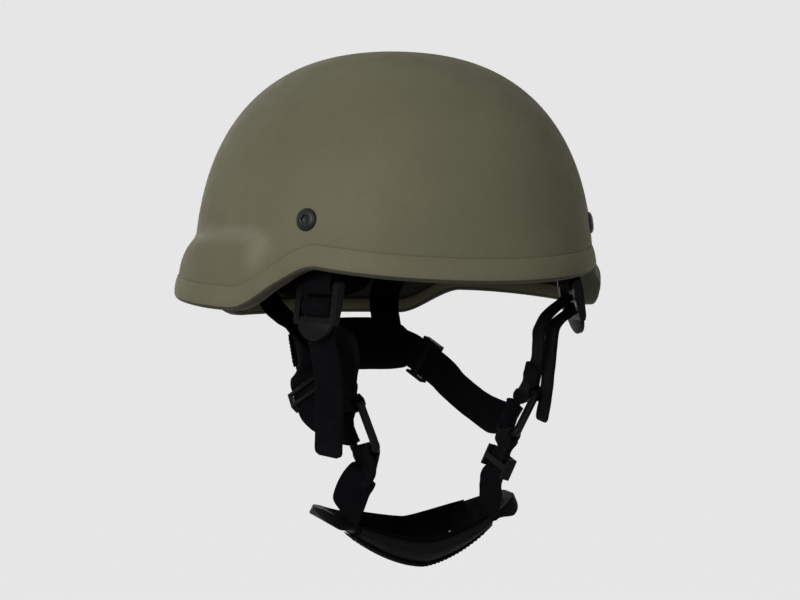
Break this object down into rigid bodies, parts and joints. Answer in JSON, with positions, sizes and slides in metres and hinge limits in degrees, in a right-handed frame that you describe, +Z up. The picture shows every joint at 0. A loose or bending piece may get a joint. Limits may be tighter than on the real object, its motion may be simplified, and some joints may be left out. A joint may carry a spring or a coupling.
{
  "type": "combat helmet",
  "caption": "Full-cut ballistic combat helmet: olive shell with flared ear covers and rubber edging, foam pad liner, and a webbing harness with adjusters and a chin cup.",
  "frame": {"origin": "centre of the head opening, level with the lower rim of the ear covers", "axes": "+Z up to the crown, front faces -Y, the wearer's left is +X"},
  "size_m": [0.2588, 0.2677, 0.3074],
  "materials": {
    "shell_coating": "matt olive coating with a fine texture on moulded fibre composite",
    "edge_rubber": "matt, coated to match the shell",
    "black_steel": "black oxide, semi-matt",
    "harness_plastic": "moulded black, satin",
    "webbing": "woven black webbing",
    "cup_leather": "black leather, soft sheen",
    "cup_lining": "black brushed lining",
    "nape_fabric": "black fabric over foam",
    "pad_fabric": "black loop fabric over foam",
    "hook_tape": "black hook tape"
  },
  "bodies": {
    "helmet": {"shell": "shell_coating", "edge_trim": "edge_rubber", "screws": "black_steel", "post_nuts": "black_steel", "front_anchor_right": "webbing", "front_anchor_left": "webbing", "rear_anchors": "webbing", "front_strap_right": "webbing", "front_strap_left": "webbing", "front_tail_right": "webbing", "front_tail_left": "webbing", "junction_ring_right": "harness_plastic", "junction_ring_left": "harness_plastic", "side_strap_right": "webbing", "side_strap_left": "webbing", "rear_strap_right": "webbing", "rear_strap_left": "webbing", "nape_band": "webbing", "nape_pad": "nape_fabric", "hook_discs": "hook_tape", "crown_pad": "pad_fabric", "front_pad": "pad_fabric", "rear_pad": "pad_fabric", "temple_pad_right": "pad_fabric", "temple_pad_left": "pad_fabric", "side_pad_right": "pad_fabric", "side_pad_left": "pad_fabric"},
    "lock_right": {"ladder_lock_right": "harness_plastic", "lock_webbing_right": "webbing"},
    "lock_left": {"ladder_lock_left": "harness_plastic", "lock_webbing_left": "webbing"},
    "slider_right": {"side_slider_right": "harness_plastic"},
    "slider_left": {"side_slider_left": "harness_plastic"},
    "chin": {"chin_strap_right": "webbing", "chin_strap_left": "webbing", "chin_slider": "harness_plastic", "chin_band": "webbing", "chin_cup": "cup_leather", "chin_cup_liner": "cup_lining"}
  },
  "joints": [
    {"name": "lock_tilt_right", "type": "hinge", "parent": "helmet", "child": "lock_right", "pos_m": [-0.08, -0.0825, 0.013], "axis": [-0.4384, 0.8988, 0], "range_deg": [0, 25], "deforming": ["front_strap_right", "front_tail_right"]},
    {"name": "lock_tilt_left", "type": "hinge", "parent": "helmet", "child": "lock_left", "pos_m": [0.08, -0.0825, 0.013], "axis": [-0.225, -0.9744, 0], "range_deg": [0, 25], "deforming": ["front_strap_left", "front_tail_left"]},
    {"name": "slider_travel_right", "type": "slide", "parent": "helmet", "child": "slider_right", "axis": [-0.1774, -0.887, -0.4264], "range_m": [-0.005, 0.005]},
    {"name": "slider_travel_left", "type": "slide", "parent": "helmet", "child": "slider_left", "axis": [0.2947, -0.8596, -0.4175], "range_m": [-0.001, 0.006]},
    {"name": "chin_swing", "type": "hinge", "parent": "helmet", "child": "chin", "pos_m": [0, -0.07, -0.081], "axis": [1, 0, 0], "range_deg": [-25, 10], "deforming": ["chin_strap_right", "chin_strap_left"]}
  ]
}
